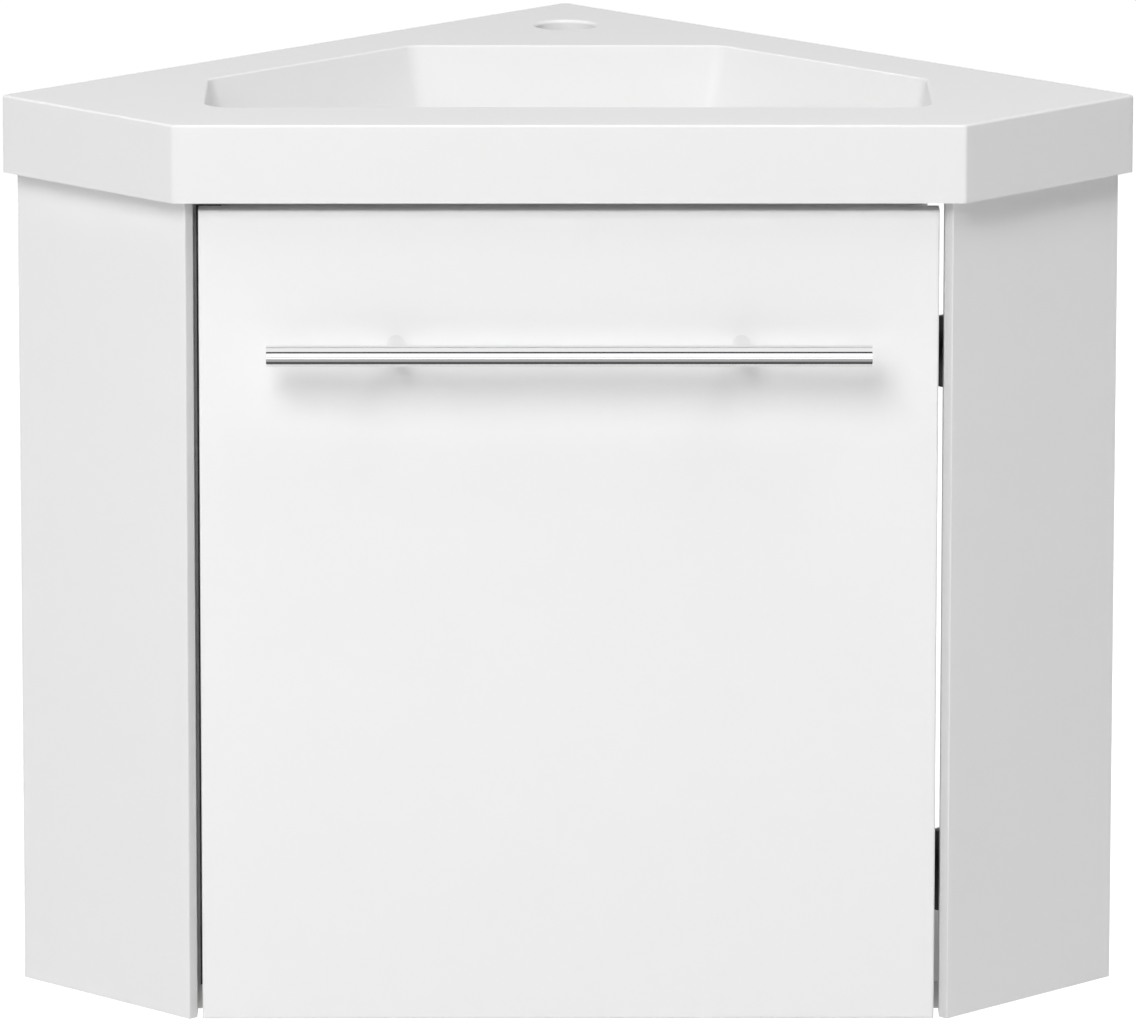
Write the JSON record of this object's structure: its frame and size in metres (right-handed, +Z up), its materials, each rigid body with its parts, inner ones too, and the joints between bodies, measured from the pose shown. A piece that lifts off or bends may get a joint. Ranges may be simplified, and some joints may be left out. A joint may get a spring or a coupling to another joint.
{
  "type": "corner vanity unit",
  "caption": "Five-sided white corner basin with a tap hole on an open-backed wall cabinet, with one hinged door and a chrome bar handle.",
  "frame": {"origin": "where the two room walls meet, at the height of the cabinet's underside", "axes": "+Z up, the door looks along -Y, the walls run along (+1, -1, 0) and (-1, -1, 0)"},
  "size_m": [0.634, 0.4459, 0.512],
  "materials": {
    "basin": "gloss white gel coat over cast mineral composite",
    "white_board": "gloss white lacquer on board",
    "buffer": "matt",
    "dowel": "plain beech",
    "steel": "zinc plated",
    "wedge": "fine grain",
    "chrome": "polished"
  },
  "bodies": {
    "carcass": {"basin": "basin", "side_panel_left": "white_board", "side_panel_right": "white_board", "bottom_panel": "white_board", "rail_left": "white_board", "rail_right": "white_board", "corner_post": "white_board", "stop_strip": "white_board", "stop_buffer": "buffer", "dowels": "dowel", "cam_housings": "steel", "cam_bolts": "steel", "fixing_brackets": "steel", "bracket_screws": "steel", "hinge_wedge_upper": "wedge", "hinge_wedge_lower": "wedge", "hinge_plate_upper": "steel", "hinge_plate_lower": "steel", "hinge_plate_screws": "steel", "hinge_arm_upper": "steel", "hinge_arm_lower": "steel", "hinge_arm_screws": "steel"},
    "door": {"door_panel": "white_board", "hinge_cup_upper": "steel", "hinge_cup_lower": "steel", "hinge_pin_upper": "steel", "hinge_pin_lower": "steel", "hinge_cup_screws": "steel", "handle_bar": "chrome", "handle_posts": "chrome", "handle_screws": "steel"}
  },
  "joints": [
    {"name": "door_hinge", "type": "hinge", "parent": "carcass", "child": "door", "pos_m": [0.19352, -0.3979, 0.231], "axis": [0, 0, 1], "range_deg": [0, 95]}
  ]
}
